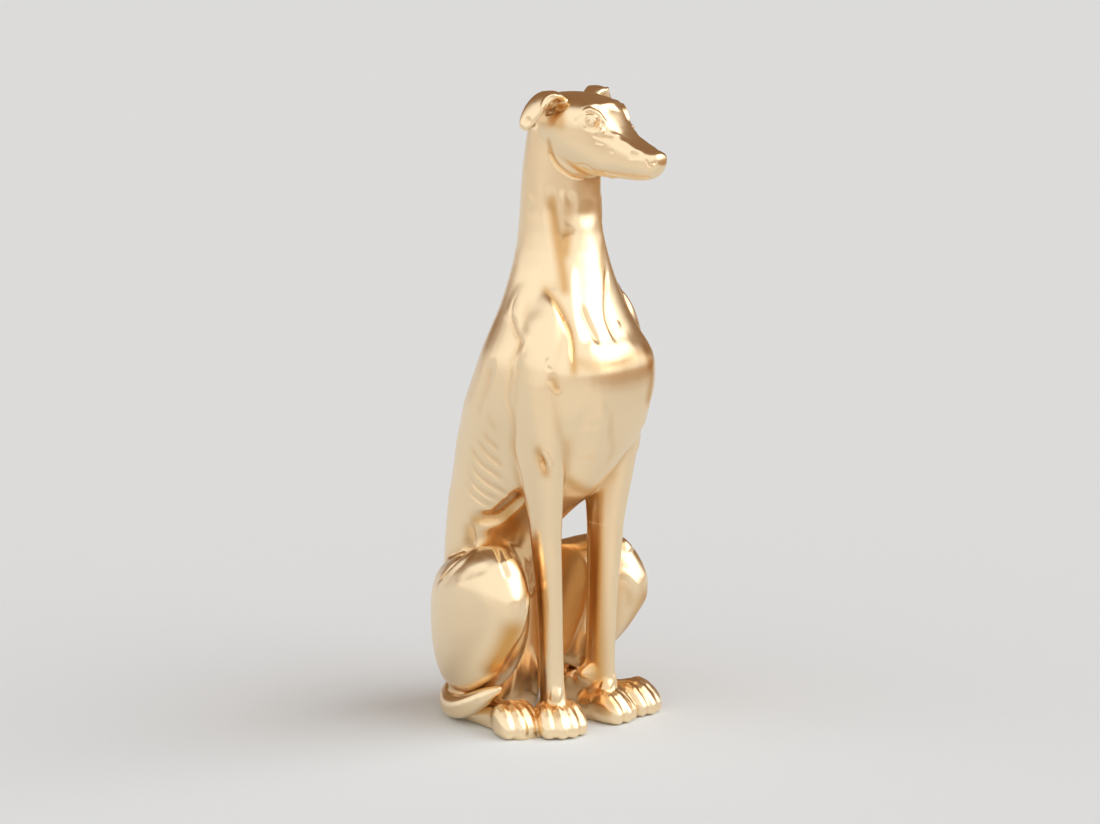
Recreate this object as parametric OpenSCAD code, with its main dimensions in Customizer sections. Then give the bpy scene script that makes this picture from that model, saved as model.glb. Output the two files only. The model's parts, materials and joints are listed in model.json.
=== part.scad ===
// Seated greyhound ornament, cast in resin in sections and gilded all over.
// The sections are bonded on flat or fitted seats, over steel dowels in blind bores.
// The figure faces -Y, +Z is up and +X is the dog's left side.
// The origin is on the surface that it stands on, under the middle of the seat.

/* [Body] */
// Height that the body's sections are drawn to, up to the crown of the neck
trunk_h = 372; // [330:1:410]
// Depth that the body's sections are drawn to, from the loin to the breast
trunk_d = 124; // [112:1:136]
// Width that the body's sections are drawn to, across the shoulders
chest_w = 93; // [84:1:102]
// Height of the seats where the forelegs join the body
leg_seat_h = 124; // [112:1:136]
// Distance between the middles of the two foreleg seats
leg_gauge = 58; // [52:1:64]

/* [Head] */
// Length of the head from the back of the skull to the nose
head_l = 95; // [88:1:104]
// Height of the head from the jaw to the crown
head_h = 50; // [45:1:55]
// Width of the skull
skull_w = 45; // [41:1:50]
// How far an ear reaches out from its root
ear_reach = 20.5; // [18:0.5:23]
// Width of an ear's lobe
ear_w = 12.5; // [11:0.5:14]
// Thickness of an ear's lobe
ear_t = 5.4; // [4:0.2:6.4]

/* [Forelegs] */
// Width of a foreleg under the elbow
leg_w = 19; // [16:0.5:22]
// Depth of a foreleg under the elbow
leg_d = 27; // [24:0.5:31]
// Length of a forepaw
paw_l = 37; // [32:0.5:42]
// Width of a forepaw
paw_w = 25; // [22:0.5:28]
// Height of a forepaw at the knuckles
paw_h = 21; // [18:0.5:24]

/* [Haunches] */
// Length of a haunch from the rump to the knee
haunch_l = 109; // [99:1:119]
// Height of a haunch above the surface that the dog sits on
haunch_h = 121; // [109:1:133]
// Width of a haunch
haunch_w = 48; // [42:1:54]
// Length of a hind foot from the hock to the toes
foot_l = 76; // [69:1:83]
// Width of a hind foot at the toes
foot_w = 23.5; // [21:0.5:26]
// Height of a hind foot at the hock
foot_h = 26; // [22:0.5:30]

/* [Tail] */
// Thickness of the tail at its root
tail_t = 17; // [14:0.5:20]
// Length along the dog that the tail sweeps through
tail_sweep = 79; // [70:1:88]

/* [Dowels and base] */
// Diameter of the large steel dowels
dowel_d = 5; // [4:0.5:6]
// Length of the large steel dowels
dowel_l = 22; // [18:1:26]
// Diameter of the small steel pins
pin_d = 2; // [1.5:0.5:2.5]
// Length of the small steel pins
pin_l = 8; // [7:0.5:10]
// Clearance round a dowel in its bore
dowel_gap = 0.1; // [0.05:0.05:0.3]
// Diameter of the plug in the filling hole
plug_d = 14; // [10:1:18]
// Length of the plug
plug_l = 10; // [8:1:16]
// Diameter of the felt disc under the seat
felt_d = 30; // [26:1:34]
// Thickness of the felt disc
felt_t = 1.2; // [1:0.1:2]
// Least thickness of resin round the hollow of the chest
wall_t = 12; // [10:0.5:14]

/* [Hidden] */
gold = [0.87, 0.71, 0.44];
steel = [0.62, 0.63, 0.65];
rubber = [0.15, 0.14, 0.13];
felt_green = [0.12, 0.16, 0.13];
overrun = 1;

// Corners of a section, and rings between two rows of a table
trunk_sides = 40;
head_sides = 32;
haunch_sides = 24;
limb_sides = 20;
lobe_sides = 12;
toe_sides = 10;
ring_steps = 2;
bore_sides = 48;

// Row of a table at place t, where whole numbers are the rows, on one smooth curve through them
function row_at(rows, t) =
    let (
        i = min(floor(t), len(rows) - 2),
        u = t - i,
        a = rows[max(i - 1, 0)],
        b = rows[i],
        c = rows[i + 1],
        d = rows[min(i + 2, len(rows) - 1)]
    )
    b + u * (c - a) / 2 + u * u * (a - 2.5 * b + 2 * c - d / 2) + u * u * u * (1.5 * (b - c) + (d - a) / 2);

function refined(rows) = [for (i = [0 : (len(rows) - 1) * ring_steps]) row_at(rows, i / ring_steps)];

// A table of shares turned into real sizes, column by column
function sized(shares, sizes) = [for (row = shares) [for (i = [0 : len(sizes) - 1]) row[i] * sizes[i]]];

function bend(v, power) = sign(v) * pow(abs(v), power);

// Closed section: half width w, low end, widest place and high end of the other axis,
// and how square its low and high halves are, where 2 is an ellipse
function section(w, low, widest, high, low_square, high_square, sides) =
    [for (i = [0 : sides - 1])
        let (
            a = 360 * (i + 0.5) / sides,
            power = 2 / (sin(a) < 0 ? low_square : high_square),
            reach = sin(a) < 0 ? widest - low : high - widest
        )
        [w * bend(cos(a), power), widest + reach * bend(sin(a), power)]];

// Closed solid through rings of points, which run anticlockwise when the next ring lies above
module loft(rings) {
    sides = len(rings[0]);
    last = len(rings) - 1;
    low_cap = [for (i = [0 : sides - 1]) i];
    high_cap = [for (i = [sides - 1 : -1 : 0]) last * sides + i];
    walls = [for (j = [0 : last - 1]) for (i = [0 : sides - 1])
        let (a = j * sides + i, b = j * sides + (i + 1) % sides)
        each [[a, a + sides, b + sides], [a, b + sides, b]]];
    polyhedron(points = [for (ring = rings) each ring], faces = concat([low_cap], walls, [high_cap]));
}

// Half space in front of or above a plane through a point, as a block of a given reach
module half_space(point, turn, reach)
    translate(point) rotate(turn) translate([-reach, -reach, 0]) cube([reach, reach, reach] * 2);

// Body
// Rows: height, then back, widest place and front, half width, squareness behind and in front
trunk_shares = [
    [0.000, -0.13, 0.05, 0.20, 0.26, 2.2, 2.2],
    [0.025, -0.17, 0.04, 0.23, 0.29, 2.2, 2.2],
    [0.120, -0.215, 0.03, 0.24, 0.33, 2.2, 2.2],
    [0.200, -0.23, 0.04, 0.26, 0.35, 2.2, 2.2],
    [0.260, -0.225, 0.07, 0.30, 0.36, 2.2, 1.9],
    [0.315, -0.218, 0.10, 0.375, 0.355, 2.2, 1.6],
    [0.360, -0.205, 0.15, 0.52, 0.365, 2.2, 1.6],
    [0.393, -0.19, 0.21, 0.64, 0.38, 2.1, 1.8],
    [0.427, -0.17, 0.27, 0.725, 0.40, 2.1, 2.1],
    [0.460, -0.15, 0.31, 0.795, 0.42, 2.1, 2.3],
    [0.495, -0.11, 0.35, 0.855, 0.45, 2.1, 2.5],
    [0.528, -0.075, 0.39, 0.895, 0.485, 2.1, 2.7],
    [0.562, -0.035, 0.42, 0.912, 0.495, 2.0, 2.9],
    [0.595, 0.01, 0.44, 0.92, 0.49, 2.0, 3.0],
    [0.630, 0.055, 0.45, 0.91, 0.47, 2.0, 3.0],
    [0.663, 0.10, 0.455, 0.85, 0.425, 2.0, 2.8],
    [0.697, 0.145, 0.46, 0.80, 0.375, 2.0, 2.5],
    [0.745, 0.19, 0.465, 0.745, 0.32, 2.0, 2.2],
    [0.800, 0.235, 0.465, 0.695, 0.28, 2.0, 2.0],
    [0.860, 0.25, 0.46, 0.67, 0.255, 2.0, 2.0],
    [0.930, 0.265, 0.465, 0.665, 0.24, 2.0, 2.0],
    [1.000, 0.30, 0.48, 0.67, 0.225, 2.0, 2.0]
];
trunk_rows = refined(sized(trunk_shares, [trunk_h, trunk_d, trunk_d, trunk_d, chest_w, 1, 1]));

function level_ring(row, sides) =
    [for (i = [sides - 1 : -1 : 0])
        let (p = section(row[4], row[1], row[2], row[3], row[5], row[6], sides)[i])
        [p.x, -p.y, row[0]]];

module torso_rings(first, last)
    loft([for (i = [first : last]) level_ring(trunk_rows[i], trunk_sides)]);
last_ring = len(trunk_rows) - 1;
module torso() torso_rings(0, last_ring);
// The rings of the neck above the throat, and the lowest rings, up to the tail
throat_ring = last_ring - 6;
rump_ring = 6;

// The neck's seat faces up and forwards, under the jaw
neck_seat_share = [0.465, 0.927];
neck_seat_tilt = 22;
neck_seat = [0, -neck_seat_share.x * trunk_d, neck_seat_share.y * trunk_h];
module above_neck() half_space(neck_seat, [neck_seat_tilt, 0, 0], trunk_h);

// The flank's seats lean outwards as they rise, and end at the top of the haunches
flank_x = 0.187 * chest_w;
flank_tilt = 7.8;
module beyond_flank() intersection() {
    half_space([flank_x, 0, 0], [0, 90 + flank_tilt, 0], trunk_h);
    translate([0, -trunk_h, -trunk_h]) cube([trunk_h, 2 * trunk_h, trunk_h + haunch_h]);
}

// Limbs are lofts of level ovals. Rows: height, place across, place forwards, half width, half depth.
limb_turn = 20;
limb_square = 2.3;
function limb_rings(rows, sides) =
    [for (row = rows)
        [for (i = [0 : sides - 1])
            let (
                a = -360 * (i + 0.5) / sides,
                x = row[3] * bend(cos(a), 2 / limb_square),
                f = row[4] * bend(sin(a), 2 / limb_square)
            )
            [row[1] + x * cos(limb_turn) + f * sin(limb_turn),
             x * sin(limb_turn) - f * cos(limb_turn) - row[2],
             row[0]]]];

// The foreleg stands under the breast, this far in front of the origin
leg_f = 0.565 * trunk_d;
leg_x = leg_gauge / 2;
// Rows of the upper arm: height above the seat as a share of the way up to the neck, then as a limb's
arm_rise = 0.41 * trunk_h;
arm_shares = [
    [0.00, 0.94, 1.00, 0.45, 0.44],
    [0.11, 0.98, 1.00, 0.51, 0.52],
    [0.21, 1.01, 0.98, 0.60, 0.65],
    [0.35, 1.05, 0.96, 0.72, 0.80],
    [0.53, 1.09, 0.95, 0.79, 0.94],
    [0.71, 1.06, 0.955, 0.74, 0.92],
    [0.88, 0.92, 0.965, 0.60, 0.76],
    [1.00, 0.72, 0.97, 0.36, 0.44]
];
arm_rows = [for (row = refined(sized(arm_shares, [arm_rise, leg_x, leg_f, leg_w, leg_d])))
    row + [leg_seat_h, 0, 0, 0, 0]];
leg_shares = [
    [0.000, 0.76, 1.06, 0.38, 0.46],
    [0.090, 0.75, 1.05, 0.45, 0.53],
    [0.170, 0.75, 1.02, 0.37, 0.39],
    [0.250, 0.76, 1.01, 0.35, 0.37],
    [0.340, 0.77, 1.01, 0.34, 0.355],
    [0.540, 0.81, 1.01, 0.36, 0.36],
    [0.760, 0.87, 1.01, 0.395, 0.39],
    [1.000, 0.94, 1.00, 0.45, 0.44]
];
leg_rows = refined(sized(leg_shares, [leg_seat_h, leg_x, leg_f, leg_w, leg_d]));

module arm() loft(limb_rings(arm_rows, limb_sides));
module leg() loft(limb_rings(leg_rows, limb_sides));

// Forms that are drawn forwards. Rows: place along, half width, low end, widest height, high end.
low_square = 2.6;
high_square = 2.2;
function forward_rings(rows, sides) =
    [for (row = rows)
        [for (p = section(row[1], max(row[2], 0), row[3], row[4], low_square, high_square, sides))
            [p.x, -row[0], p.y]]];

// Toes side by side across a paw, the two in the middle further forwards
toe_shares = [
    [0.00, 0.14, 0.20, 0.46, 0.72],
    [0.16, 0.20, 0.04, 0.44, 0.94],
    [0.38, 0.235, 0.00, 0.42, 1.00],
    [0.62, 0.24, 0.00, 0.38, 0.89],
    [0.82, 0.215, 0.00, 0.32, 0.68],
    [0.94, 0.155, 0.04, 0.28, 0.50],
    [1.00, 0.07, 0.12, 0.26, 0.38]
];
toe_across_share = 0.19;
toe_back_share = 0.13;
toe_fan = 7;
module toes(front, length, width, height) {
    for (k = [-1.5 : 1 : 1.5])
        let (across = k * toe_across_share * width, back = (abs(k) - 0.5) * toe_back_share * length)
            translate([across, length - front + back, 0]) rotate(toe_fan * k)
                loft(forward_rings(sized(toe_shares, [length, width, height, height, height]), toe_sides));
}

// Forepaw, with its heel behind the leg
paw_x = 0.75 * leg_x;
paw_f = 1.02 * leg_f;
paw_front = 0.62 * paw_l;
toe_share = 0.62;
paw_shares = [
    [-0.40, 0.16, 0.10, 0.40, 0.62],
    [-0.30, 0.34, 0.00, 0.42, 0.86],
    [-0.02, 0.44, 0.00, 0.42, 1.00],
    [0.20, 0.45, 0.00, 0.40, 0.92],
    [0.36, 0.36, 0.00, 0.36, 0.66],
    [0.44, 0.22, 0.06, 0.30, 0.46]
];
module forepaw()
    translate([paw_x, -paw_f, 0]) rotate(limb_turn) {
        loft(forward_rings(refined(sized(paw_shares, [paw_l, paw_w, paw_h, paw_h, paw_h])), limb_sides));
        toes(paw_front, toe_share * paw_l, paw_w, paw_h);
    }

// Haunch, turned out to the knee
haunch_x = 0.40 * chest_w;
haunch_f = 0.18 * trunk_d;
haunch_turn = 24;
haunch_shares = [
    [-0.470, 0.06, 0.76, 0.86, 0.95],
    [-0.400, 0.24, 0.50, 0.62, 0.78],
    [-0.280, 0.39, 0.18, 0.56, 0.82],
    [-0.130, 0.47, 0.14, 0.57, 0.87],
    [0.030, 0.49, 0.15, 0.58, 0.92],
    [0.175, 0.48, 0.22, 0.60, 0.96],
    [0.305, 0.42, 0.32, 0.62, 0.975],
    [0.410, 0.33, 0.44, 0.66, 0.93],
    [0.490, 0.21, 0.55, 0.69, 0.83],
    [0.530, 0.08, 0.62, 0.69, 0.75]
];
// The left knee is lower
left_haunch_h = 0.94 * haunch_h;
module haunch_form(h)
    translate([haunch_x, -haunch_f, 0]) rotate(haunch_turn)
        loft(forward_rings(refined(sized(haunch_shares, [haunch_l, haunch_w, h, h, h])), haunch_sides));

// The haunch is flat on the flank's seat, and flat below, where the foot lies under it
hock_seat_h = 0.78 * foot_h;
module haunch_solid(h) difference() {
    intersection() {
        haunch_form(h);
        beyond_flank();
    }
    translate([-trunk_h, -trunk_h, hock_seat_h - 2 * trunk_h]) cube(2 * trunk_h);
}

// Hind foot, flat on the ground from the hock to the toes
foot_x = 0.36 * chest_w;
// How far forward each foot starts, and how far it is turned out
right_foot = [0.04 * trunk_d, 10];
left_foot = [0.20 * trunk_d, 17];
module at_foot(foot) translate([foot_x, -foot[0], 0]) rotate(foot[1]) children();
foot_shares = [
    [-0.12, 0.14, 0.26, 0.50, 0.72],
    [-0.06, 0.30, 0.05, 0.45, 0.94],
    [0.06, 0.37, 0.00, 0.40, 0.99],
    [0.22, 0.36, 0.00, 0.34, 0.86],
    [0.42, 0.34, 0.00, 0.29, 0.75],
    [0.56, 0.38, 0.00, 0.28, 0.74],
    [0.66, 0.44, 0.00, 0.28, 0.81],
    [0.76, 0.44, 0.00, 0.26, 0.72],
    [0.82, 0.33, 0.00, 0.22, 0.52],
    [0.86, 0.17, 0.05, 0.19, 0.35]
];
// It is cut flat under the haunch, from the hock as far as the instep
instep_share = 0.42;
module foot_solid(foot)
    at_foot(foot) difference() {
        let (sizes = [foot_l, foot_w, foot_h, foot_h, foot_h])
            loft(forward_rings(refined(sized(foot_shares, sizes)), limb_sides));
        translate([-foot_w, -instep_share * foot_l, hock_seat_h]) cube([2 * foot_w, foot_l, foot_h]);
    }

toe_front_share = 0.92;
module hind_toes(foot)
    at_foot(foot) toes(toe_front_share * foot_l, toe_share * paw_l, foot_w, paw_h);

// Tail, which leaves the rump on the ground and sweeps round the right haunch
// Rows: place across and forwards, height, half width, half thickness
tail_shares = [
    [0.08, -0.27, 0.505, 0.50, 0.50],
    [-0.16, -0.265, 0.505, 0.50, 0.50],
    [-0.40, -0.18, 0.505, 0.50, 0.50],
    [-0.62, -0.05, 0.51, 0.50, 0.50],
    [-0.80, 0.08, 0.54, 0.48, 0.48],
    [-0.92, 0.23, 0.66, 0.45, 0.45],
    [-0.98, 0.38, 0.95, 0.41, 0.41],
    [-0.99, 0.52, 1.32, 0.34, 0.34],
    [-0.95, 0.62, 1.60, 0.22, 0.22],
    [-0.92, 0.665, 1.73, 0.08, 0.08]
];
tail_out = 0.55 * chest_w;
function unit(v) = v / norm(v);
// Rings square to a path, with their first axis level with a given direction
function path_rings(rows, up, sides) =
    [for (i = [0 : len(rows) - 1])
        let (
            before = rows[max(i - 1, 0)],
            after = rows[min(i + 1, len(rows) - 1)],
            along = unit([after[0] - before[0], before[1] - after[1], after[2] - before[2]]),
            side = unit(cross(along, up)),
            over = cross(side, along)
        )
        [for (k = [0 : sides - 1])
            let (a = -360 * k / sides, out = rows[i][3] * cos(a) * side + rows[i][4] * sin(a) * over)
            [rows[i][0], -rows[i][1], rows[i][2]] + out]];
tail_rows = refined(sized(tail_shares, [tail_out, tail_sweep, tail_t, tail_t, tail_t]));
module tail_form() loft(path_rings(tail_rows, [0, 0, 1], lobe_sides));

// Head. Rows as above, and how square the section is above its widest height: most at the brow.
head_f = 0.35 * trunk_d;
head_base = [0, -head_f, 0.922 * trunk_h];
head_shares = [
    [0.000, 0.10, 0.44, 0.62, 0.76, 2.2],
    [0.035, 0.30, 0.32, 0.62, 0.89, 2.2],
    [0.11, 0.43, 0.20, 0.60, 0.96, 2.2],
    [0.21, 0.49, 0.12, 0.58, 0.985, 2.3],
    [0.31, 0.50, 0.05, 0.56, 0.99, 2.6],
    [0.42, 0.475, 0.01, 0.52, 0.965, 3.0],
    [0.50, 0.435, 0.00, 0.47, 0.91, 3.6],
    [0.565, 0.385, 0.00, 0.42, 0.83, 4.0],
    [0.63, 0.305, 0.00, 0.35, 0.70, 3.2],
    [0.70, 0.26, 0.00, 0.29, 0.575, 2.7],
    [0.80, 0.225, 0.00, 0.25, 0.465, 2.6],
    [0.89, 0.20, 0.02, 0.24, 0.405, 2.6],
    [0.95, 0.17, 0.07, 0.25, 0.385, 2.7],
    [0.985, 0.13, 0.15, 0.27, 0.365, 2.7],
    [1.00, 0.07, 0.21, 0.28, 0.34, 2.5]
];
module head_form()
    translate(head_base)
        loft([for (row = refined(sized(head_shares, [head_l, skull_w, head_h, head_h, head_h, 1])))
            [for (p = section(row[1], max(row[2], 0), row[3], row[4], high_square, row[5], head_sides))
                [p.x, -row[0], p.y]]]);

// Ear, folded back: it rises from its root beside the crown, turns over and hangs out and back
// Rows: place out from the root, forwards and up, half thickness, half width
// The root's middle lies on a flat seat, a little under the skin of the skull
ear_root = head_base + [0.31 * skull_w, -0.25 * head_l, 0.90 * head_h];
ear_tilt = 41;
module at_ear_root() translate(ear_root) rotate([0, ear_tilt, 0]) children();
ear_shares = [
    [-0.20, 0.02, -0.26, 0.50, 0.42],
    [0.06, 0.03, 0.07, 0.55, 0.56],
    [0.29, 0.02, 0.19, 0.55, 0.64],
    [0.50, -0.08, 0.12, 0.52, 0.66],
    [0.69, -0.21, -0.10, 0.50, 0.66],
    [0.83, -0.35, -0.39, 0.46, 0.60],
    [0.93, -0.47, -0.68, 0.40, 0.44],
    [0.96, -0.52, -0.83, 0.25, 0.22]
];
ear_rows = refined(sized(ear_shares, [ear_reach, ear_reach, ear_reach, ear_t, ear_w]));
ear_seat_share = 1.8;
ear_seat_d = ear_seat_share * ear_w;
module ear_form() translate(ear_root) loft(path_rings(ear_rows, [0, -1, 0], lobe_sides));

// Dowels and their bores
module dowel(d, l) cylinder(h = l, d = d, center = true, $fn = bore_sides);
module bore(d, l) dowel(d + 2 * dowel_gap, l + 2 * dowel_gap);
module at_neck() translate(neck_seat) rotate([neck_seat_tilt, 0, 0]) children();
elbow_x = 0.94 * leg_x;
module at_elbow() translate([elbow_x, -leg_f, leg_seat_h]) children();
flank_dowel_shares = [0.34, 0.72];
module at_flank()
    for (share = flank_dowel_shares)
        translate([flank_x + share * haunch_h * tan(flank_tilt), 0, share * haunch_h])
            rotate([0, 90 + flank_tilt, 0]) children();
module at_hock(foot) at_foot(foot) translate([0, 0, hock_seat_h]) children();

module both_sides() {
    children();
    mirror([1, 0, 0]) children();
}

// Hollow of the chest, which follows the torso's own rings from above the foreleg dowels to the throat
hollow_sides = 20;
hollow_first = 14;
hollow_last = 34;
hollow_step = 4;
module hollow()
    loft([for (i = [hollow_first : hollow_step : hollow_last])
        let (row = trunk_rows[i], thinner = [0, wall_t, 0, -wall_t, -wall_t, 0, 0])
        level_ring(row + thinner, hollow_sides)]);

// Filling hole under the seat, with its plug and the felt disc that hides it
felt_f = 0.04 * trunk_d;
module at_felt() translate([0, -felt_f, 0]) children();
module filling_hole() at_felt() {
    translate([0, 0, -overrun]) cylinder(h = felt_t + overrun, d = felt_d + 2 * dowel_gap, $fn = bore_sides);
    cylinder(h = trunk_rows[hollow_first][0] + overrun, d = plug_d + 2 * dowel_gap, $fn = bore_sides);
}

// Web of resin that ties the right hind paw to the outer side of the right forepaw
web_place_share = 0.80;
web_h = 0.46 * paw_h;
web_hind_r = 0.36 * foot_w;
web_fore_r = 0.24 * paw_w;
web_taper = 0.55;
module web_end(r) cylinder(h = web_h, r1 = r, r2 = web_taper * r, $fn = bore_sides);
module web() hull() {
    at_foot(right_foot) translate([0, -web_place_share * foot_l, 0]) web_end(web_hind_r);
    translate([paw_x + 0.2 * paw_w, -paw_f, 0]) web_end(web_fore_r);
}

module trunk() color(gold)
    difference() {
        union() {
            difference() {
                torso();
                both_sides() beyond_flank();
            }
            both_sides() arm();
        }
        above_neck();
        at_neck() bore(dowel_d, dowel_l);
        both_sides() at_elbow() bore(dowel_d, dowel_l);
        both_sides() at_flank() bore(dowel_d, dowel_l);
        hollow();
        filling_hole();
    }

module head() color(gold)
    difference() {
        union() {
            head_form();
            intersection() {
                torso_rings(throat_ring, last_ring);
                above_neck();
            }
        }
        at_neck() bore(dowel_d, dowel_l);
        both_sides() at_ear_root() {
            cylinder(h = ear_reach, d = ear_seat_d, $fn = bore_sides);
            bore(pin_d, pin_l);
        }
    }

module ear() color(gold)
    difference() {
        ear_form();
        at_ear_root() mirror([0, 0, 1]) cylinder(h = ear_reach, d = ear_seat_d, $fn = bore_sides);
        at_ear_root() bore(pin_d, pin_l);
    }

module foreleg() color(gold)
    difference() {
        union() {
            leg();
            forepaw();
        }
        at_elbow() bore(dowel_d, dowel_l);
    }

module haunch(foot, h) color(gold)
    difference() {
        haunch_solid(h);
        at_flank() bore(dowel_d, dowel_l);
        at_hock(foot) bore(dowel_d, dowel_l);
    }

module hind_foot(foot, webbed) color(gold)
    difference() {
        union() {
            foot_solid(foot);
            hind_toes(foot);
            if (webbed) web();
        }
        leg();
        forepaw();
        at_hock(foot) bore(dowel_d, dowel_l);
    }

module tail() color(gold)
    difference() {
        tail_form();
        mirror([1, 0, 0]) haunch_solid(haunch_h);
        mirror([1, 0, 0]) foot_solid(right_foot);
        torso_rings(0, rump_ring);
    }

module neck_dowel() color(steel) at_neck() dowel(dowel_d, dowel_l);
module foreleg_dowels() color(steel) both_sides() at_elbow() dowel(dowel_d, dowel_l);
module haunch_dowels() color(steel) both_sides() at_flank() dowel(dowel_d, dowel_l);
module hock_dowels() color(steel) {
    at_hock(left_foot) dowel(dowel_d, dowel_l);
    mirror([1, 0, 0]) at_hock(right_foot) dowel(dowel_d, dowel_l);
}
module ear_pins() color(steel) both_sides() at_ear_root() dowel(pin_d, pin_l);
module filler_plug() color(rubber)
    at_felt() translate([0, 0, felt_t]) cylinder(h = plug_l, d = plug_d, $fn = bore_sides);
module felt_disc() color(felt_green)
    at_felt() cylinder(h = felt_t, d = felt_d, $fn = bore_sides);

trunk();
head();
ear();  // left_ear
mirror([1, 0, 0]) ear();  // right_ear
foreleg();  // left_foreleg
mirror([1, 0, 0]) foreleg();  // right_foreleg
haunch(left_foot, left_haunch_h);  // left_haunch
mirror([1, 0, 0]) haunch(right_foot, haunch_h);  // right_haunch
hind_foot(left_foot, false);  // left_hind_foot
mirror([1, 0, 0]) hind_foot(right_foot, true);  // right_hind_foot
tail();
neck_dowel();
foreleg_dowels();
haunch_dowels();
hock_dowels();
ear_pins();
filler_plug();
felt_disc();
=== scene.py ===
# Seated greyhound ornament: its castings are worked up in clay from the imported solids, then gilded
import json
import math
import bpy
import numpy as np
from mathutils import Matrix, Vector
from mathutils.bvhtree import BVHTree
from mathutils.kdtree import KDTree

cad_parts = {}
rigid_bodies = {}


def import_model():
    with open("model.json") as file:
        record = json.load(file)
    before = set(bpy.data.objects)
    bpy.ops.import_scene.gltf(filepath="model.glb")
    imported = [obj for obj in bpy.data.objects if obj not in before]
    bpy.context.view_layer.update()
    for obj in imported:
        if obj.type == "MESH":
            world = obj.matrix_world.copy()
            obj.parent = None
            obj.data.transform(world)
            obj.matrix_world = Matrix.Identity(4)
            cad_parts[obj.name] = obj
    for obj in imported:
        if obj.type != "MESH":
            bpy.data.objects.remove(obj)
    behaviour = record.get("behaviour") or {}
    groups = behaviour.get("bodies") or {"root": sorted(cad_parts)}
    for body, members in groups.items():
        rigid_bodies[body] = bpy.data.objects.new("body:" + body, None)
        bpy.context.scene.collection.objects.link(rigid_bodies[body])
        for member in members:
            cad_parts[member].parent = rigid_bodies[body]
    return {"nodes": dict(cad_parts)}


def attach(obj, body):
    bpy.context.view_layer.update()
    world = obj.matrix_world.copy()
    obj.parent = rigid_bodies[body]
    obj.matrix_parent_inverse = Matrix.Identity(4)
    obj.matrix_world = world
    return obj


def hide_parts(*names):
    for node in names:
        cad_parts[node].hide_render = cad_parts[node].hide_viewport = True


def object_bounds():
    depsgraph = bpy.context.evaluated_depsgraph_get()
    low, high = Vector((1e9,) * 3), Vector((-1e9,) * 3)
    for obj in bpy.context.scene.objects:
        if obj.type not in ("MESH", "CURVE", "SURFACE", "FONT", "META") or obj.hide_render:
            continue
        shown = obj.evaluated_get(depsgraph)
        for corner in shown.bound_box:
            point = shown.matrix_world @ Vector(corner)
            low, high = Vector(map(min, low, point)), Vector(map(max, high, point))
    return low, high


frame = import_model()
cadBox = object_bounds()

mm = 0.001


def pick(*objs):
    bpy.ops.object.select_all(action="DESELECT")
    for obj in objs:
        obj.select_set(True)
    bpy.context.view_layer.objects.active = objs[0]


def applyModifiers(obj):
    pick(obj)
    for modifier in list(obj.modifiers):
        bpy.ops.object.modifier_apply(modifier=modifier.name)


def applyPlace(obj):
    pick(obj)
    bpy.ops.object.transform_apply(location=True, rotation=True, scale=True)


def readPoints(obj):
    flat = np.empty(len(obj.data.vertices) * 3, np.float32)
    obj.data.vertices.foreach_get("co", flat)
    return flat.reshape(-1, 3).astype(float)


def writePoints(obj, points):
    obj.data.vertices.foreach_set("co", points.astype(np.float32).ravel())
    obj.data.update()


def readNormals(obj):
    flat = np.empty(len(obj.data.vertices) * 3, np.float32)
    obj.data.vertex_normals.foreach_get("vector", flat)
    return flat.reshape(-1, 3).astype(float)


def readEdges(obj):
    flat = np.empty(len(obj.data.edges) * 2, np.int32)
    obj.data.edges.foreach_get("vertices", flat)
    return flat.reshape(-1, 2)


def neighbourMean(values, edges):
    # the mean of each point's neighbours
    ends = np.concatenate([edges[:, 0], edges[:, 1]])
    others = np.concatenate([edges[:, 1], edges[:, 0]])
    count = np.maximum(np.bincount(ends, minlength=len(values)), 1)
    total = np.stack([np.bincount(ends, column[others], len(values)) for column in values.T], 1)
    return total / count[:, None]


def spread(values, edges, repeat):
    for step in range(repeat):
        values = neighbourMean(values, edges)
    return values


def relax(obj, repeat, weight=None):
    # smooths as a wet sponge does, by a weight for each point
    points = readPoints(obj)
    edges = readEdges(obj)
    share = 0.5 if weight is None else (0.5 * weight)[:, None]
    for step in range(repeat):
        points += share * (neighbourMean(points, edges) - points)
    writePoints(obj, points)


def crisp(obj, repeat, weight):
    # deepens the grooves and raises the ridges that the clay already has
    points = readPoints(obj)
    around = spread(points, readEdges(obj), repeat)
    writePoints(obj, points + weight[:, None] * (points - around))


def keepInBox(obj):
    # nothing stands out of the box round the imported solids
    writePoints(obj, np.clip(readPoints(obj), *(np.array(corner) for corner in cadBox)))


def span(value, low, high):
    # 0 below low and 1 above high, with a smooth step between
    t = np.clip((value - low) / (high - low), 0, 1)
    return t * t * (3 - 2 * t)


# The photograph's view: where it is taken from, and where the aim shows in it
view = {
    "aim": (0, 0, 0.2034),
    "azimuth": -47,
    "elevation": 10.5,
    "distance": 2.6,
    "photo": (1100, 824),       # width and height in pixels
    "aimAt": (492, 386.6),
    "pixel": 0.62 * mm,         # what a pixel spans at the aim
    "sensor": 36,               # width in millimetres
    "farthest": 50,
}

azimuth = math.radians(view["azimuth"])
elevation = math.radians(view["elevation"])
viewBack = Vector((math.sin(azimuth) * math.cos(elevation),
                   -math.cos(azimuth) * math.cos(elevation), math.sin(elevation)))
viewRight = Vector((math.cos(azimuth), math.sin(azimuth), 0))
viewUp = viewBack.cross(viewRight)
eye = Vector(view["aim"]) + viewBack * view["distance"]


def rayThrough(u, v):
    across = (u - view["aimAt"][0]) * view["pixel"]
    down = (v - view["aimAt"][1]) * view["pixel"]
    return (viewRight * across - viewUp * down - viewBack * view["distance"]).normalized()


# Clay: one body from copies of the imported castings
castings = ["trunk", "head", "right_ear", "left_ear", "right_foreleg", "left_foreleg",
            "right_haunch", "left_haunch", "right_hind_foot", "left_hind_foot"]

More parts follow.
